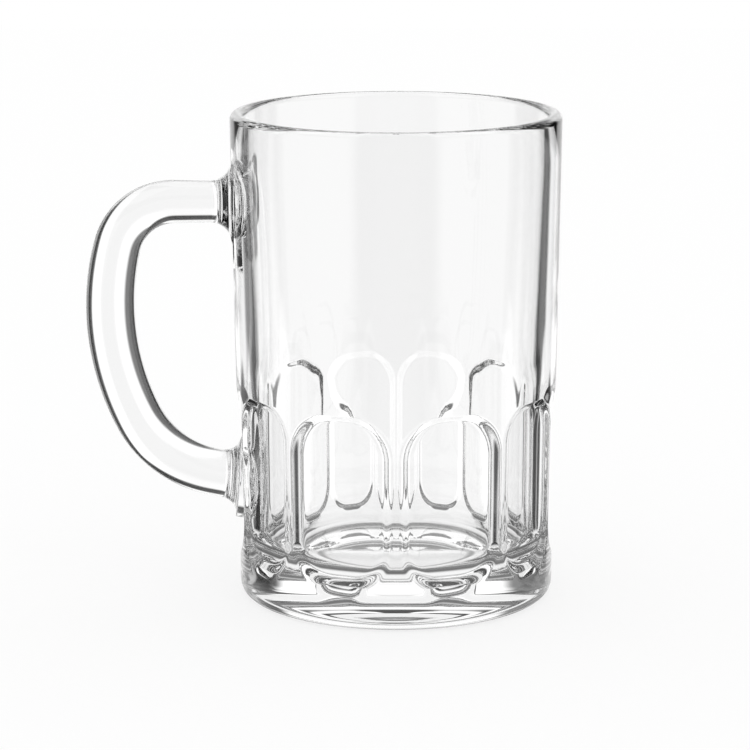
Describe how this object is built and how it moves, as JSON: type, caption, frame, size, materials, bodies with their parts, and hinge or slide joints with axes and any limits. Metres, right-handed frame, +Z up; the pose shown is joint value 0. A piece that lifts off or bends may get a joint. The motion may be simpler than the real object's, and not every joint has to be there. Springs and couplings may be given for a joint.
{
  "type": "beer mug",
  "caption": "Clear glass beer mug with arched panels round its lower half, a thick solid base and a looped side handle, for holding and drinking cold drinks",
  "frame": {"origin": "centre of the flat underside, on the table plane, on the tumbler's axis", "axes": "+Z up along the tumbler's axis, -X towards the handle, -Y towards the camera's side with a rib between two panels in the middle"},
  "size_m": [0.13, 0.09, 0.134],
  "materials": {
    "mug_glass": "clear, fire-polished"
  },
  "bodies": {
    "root": {"tumbler": "mug_glass", "handle": "mug_glass"}
  },
  "joints": []
}
